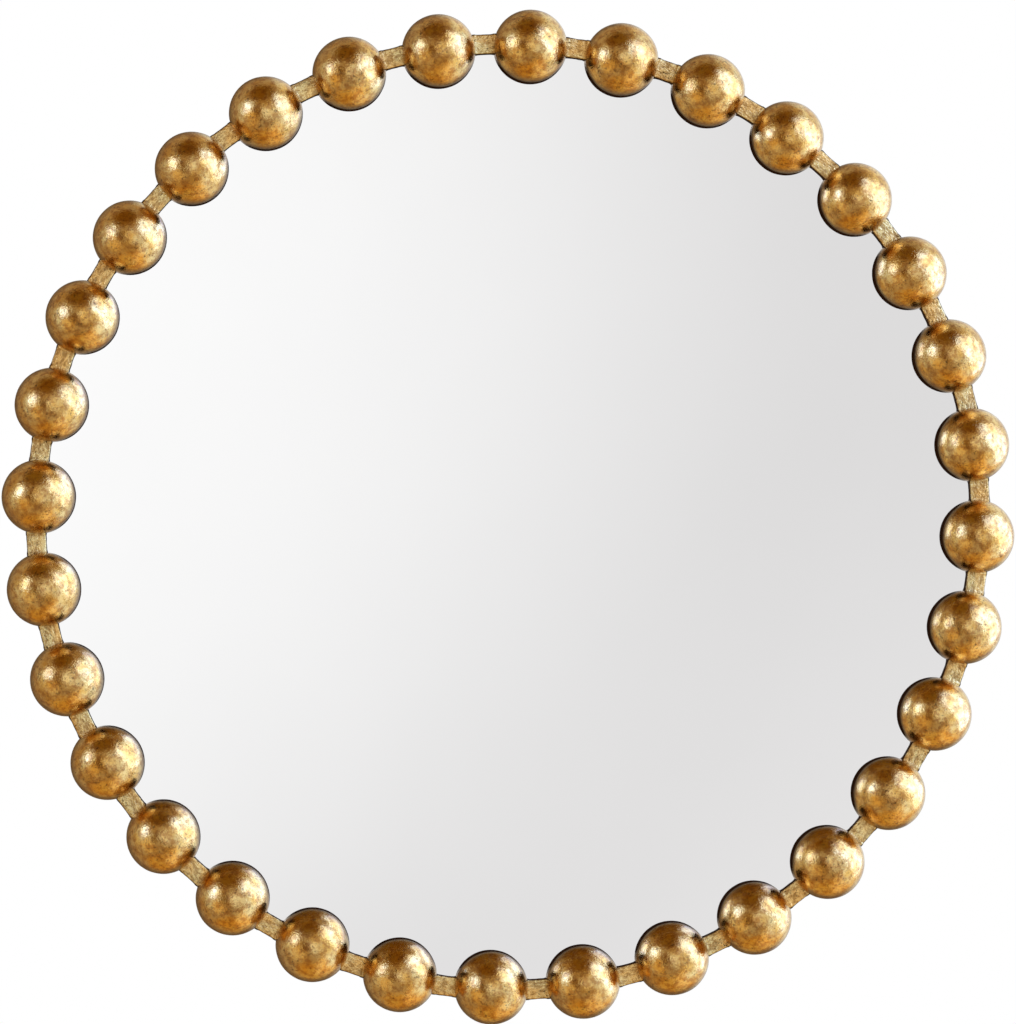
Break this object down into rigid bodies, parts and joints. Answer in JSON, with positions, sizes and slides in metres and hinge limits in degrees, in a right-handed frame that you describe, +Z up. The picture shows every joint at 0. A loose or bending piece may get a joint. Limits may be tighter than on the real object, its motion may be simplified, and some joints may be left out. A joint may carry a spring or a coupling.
{
  "type": "round wall mirror",
  "caption": "Round wall mirror framed by a ring of gilded metal beads joined by a flat bar, with a backing board, clips, bumpers and two swinging hanger rings.",
  "frame": {"origin": "middle of the bead ring, on the wall's face, which the rear faces of the bumpers touch", "axes": "+Z up, the mirror looks towards -Y and its back towards +Y, +X to the viewer's right"},
  "size_m": [0.8622, 0.0575, 0.8622],
  "materials": {
    "gilded_bead": "satin",
    "gilded_bar": "satin",
    "silvered_glass": "polished",
    "foam_tape": "matte",
    "fibre_board": "matte",
    "zinc_steel": "satin",
    "zinc_screw": "satin",
    "nickel_steel": "polished",
    "rubber_bumper": "matte"
  },
  "bodies": {
    "mirror": {"bead_01": "gilded_bead", "bead_02": "gilded_bead", "bead_03": "gilded_bead", "bead_04": "gilded_bead", "bead_05": "gilded_bead", "bead_06": "gilded_bead", "bead_07": "gilded_bead", "bead_08": "gilded_bead", "bead_09": "gilded_bead", "bead_10": "gilded_bead", "bead_11": "gilded_bead", "bead_12": "gilded_bead", "bead_13": "gilded_bead", "bead_14": "gilded_bead", "bead_15": "gilded_bead", "bead_16": "gilded_bead", "bead_17": "gilded_bead", "bead_18": "gilded_bead", "bead_19": "gilded_bead", "bead_20": "gilded_bead", "bead_21": "gilded_bead", "bead_22": "gilded_bead", "bead_23": "gilded_bead", "bead_24": "gilded_bead", "bead_25": "gilded_bead", "bead_26": "gilded_bead", "bead_27": "gilded_bead", "bead_28": "gilded_bead", "bead_29": "gilded_bead", "bead_30": "gilded_bead", "bead_31": "gilded_bead", "bead_32": "gilded_bead", "bar_ring": "gilded_bar", "mirror_glass": "silvered_glass", "mounting_tape": "foam_tape", "backing_board": "fibre_board", "clip_1": "zinc_steel", "clip_2": "zinc_steel", "clip_3": "zinc_steel", "clip_4": "zinc_steel", "clip_5": "zinc_steel", "clip_6": "zinc_steel", "clip_7": "zinc_steel", "clip_8": "zinc_steel", "clip_screws": "zinc_screw", "hanger_screws": "zinc_screw", "hanger_strap_left": "nickel_steel", "hanger_strap_right": "nickel_steel", "bumper_1": "rubber_bumper", "bumper_2": "rubber_bumper", "bumper_3": "rubber_bumper", "bumper_4": "rubber_bumper"},
    "left_ring": {"hanger_ring_left": "nickel_steel"},
    "right_ring": {"hanger_ring_right": "nickel_steel"}
  },
  "joints": [
    {"name": "left_ring_swing", "type": "hinge", "parent": "mirror", "child": "left_ring", "pos_m": [-0.24, -0.0054, 0.18], "axis": [1, 0, 0], "range_deg": [0, 175]},
    {"name": "right_ring_swing", "type": "hinge", "parent": "mirror", "child": "right_ring", "pos_m": [0.24, -0.0054, 0.18], "axis": [1, 0, 0], "range_deg": [0, 175]}
  ]
}
